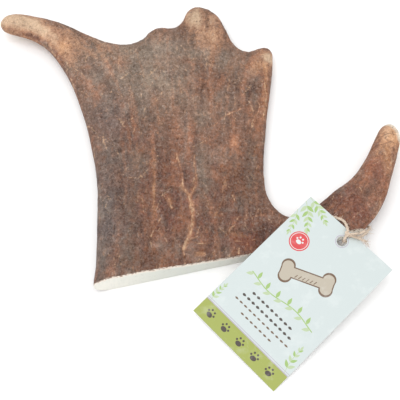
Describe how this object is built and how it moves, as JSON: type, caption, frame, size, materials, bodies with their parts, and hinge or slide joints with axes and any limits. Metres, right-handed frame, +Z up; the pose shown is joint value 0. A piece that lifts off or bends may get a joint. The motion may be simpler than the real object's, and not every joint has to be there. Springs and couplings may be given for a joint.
{
  "type": "antler dog chew",
  "caption": "Flat palm of fallow deer antler with a long tine at each side, sawn off straight along its foot, with a hang card tied on by twine; a chew for dogs.",
  "frame": {"origin": "the middle of the ground that the antler and its card cover, on the ground that the palm's flat back lies on", "axes": "+Z up, out of the palm's broad front; +Y from the saw cut towards the short points along the palm's top; +X towards the right tine, seen from the front"},
  "size_m": [0.2142, 0.2198, 0.017],
  "materials": {
    "antler": "matte",
    "twine_fibre": "matte",
    "card_stock": "satin"
  },
  "bodies": {
    "root": {"palm": "antler", "left_tine": "antler", "right_tine": "antler", "twine": "twine_fibre", "hang_card": "card_stock"}
  },
  "joints": []
}
